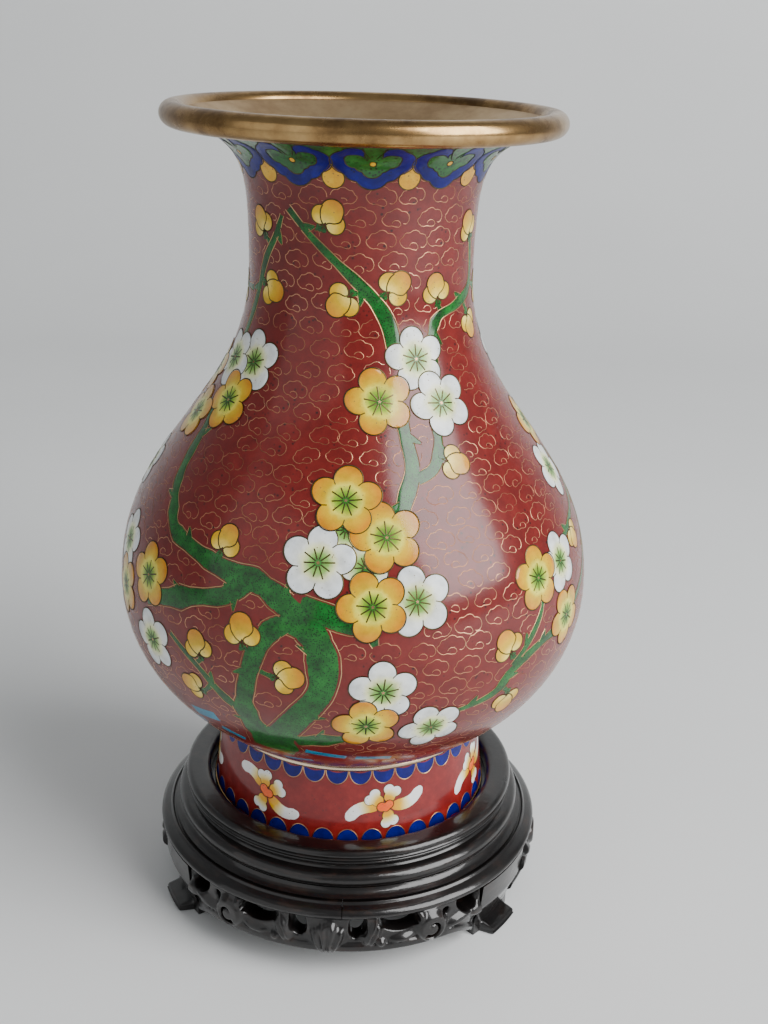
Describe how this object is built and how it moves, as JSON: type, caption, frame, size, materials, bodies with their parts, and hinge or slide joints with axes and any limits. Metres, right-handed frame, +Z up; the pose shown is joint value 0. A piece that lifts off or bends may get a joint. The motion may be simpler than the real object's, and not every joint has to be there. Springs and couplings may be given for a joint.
{
  "type": "cloisonne vase",
  "caption": "Baluster vase with a trumpet mouth, enamelled in blossoms over red cloud cells, lifting out of a carved round hardwood stand.",
  "frame": {"origin": "on the floor under the middle of the stand", "axes": "+Z up along the axis of the vase and its stand, -Y is the front with the main blossom cluster, +X to the viewer's right"},
  "size_m": [0.155, 0.155, 0.2683],
  "materials": {
    "antique_brass": "worn, browned and polished by handling",
    "bright_brass": "ground flush and polished",
    "copper": "dull, browned copper inside",
    "red_enamel": "glossy brick red with fine pits",
    "cobalt_enamel": "glossy cobalt blue",
    "foot_red_enamel": "glossy lighter red",
    "counter_enamel": "thin glossy turquoise counter-enamel",
    "dark_hardwood": "near-black lacquer over brown hardwood, glossy"
  },
  "bodies": {
    "stand": {"stand_lip_ring": "dark_hardwood", "stand_moulding_ring": "dark_hardwood", "stand_seat_panel": "dark_hardwood", "shoulder_segment_1": "dark_hardwood", "shoulder_segment_2": "dark_hardwood", "shoulder_segment_3": "dark_hardwood", "apron_1": "dark_hardwood", "apron_2": "dark_hardwood", "apron_3": "dark_hardwood", "leg_1": "dark_hardwood", "leg_2": "dark_hardwood", "leg_3": "dark_hardwood", "leg_dowel_1": "dark_hardwood", "leg_dowel_2": "dark_hardwood", "leg_dowel_3": "dark_hardwood"},
    "vase": {"mouth_ring": "antique_brass", "waist_ring": "bright_brass", "foot_edge_ring": "bright_brass", "collar_wire": "bright_brass", "neck_shell": "copper", "upper_belly_shell": "copper", "lower_belly_shell": "copper", "foot_shell": "copper", "base_plate": "copper", "collar_enamel": "cobalt_enamel", "ground_enamel": "red_enamel", "foot_enamel": "foot_red_enamel", "base_enamel": "counter_enamel"}
  },
  "joints": [
    {"name": "vase_lift", "type": "slide", "parent": "stand", "child": "vase", "axis": [0, 0, 1], "range_m": [0, 0.06]}
  ]
}
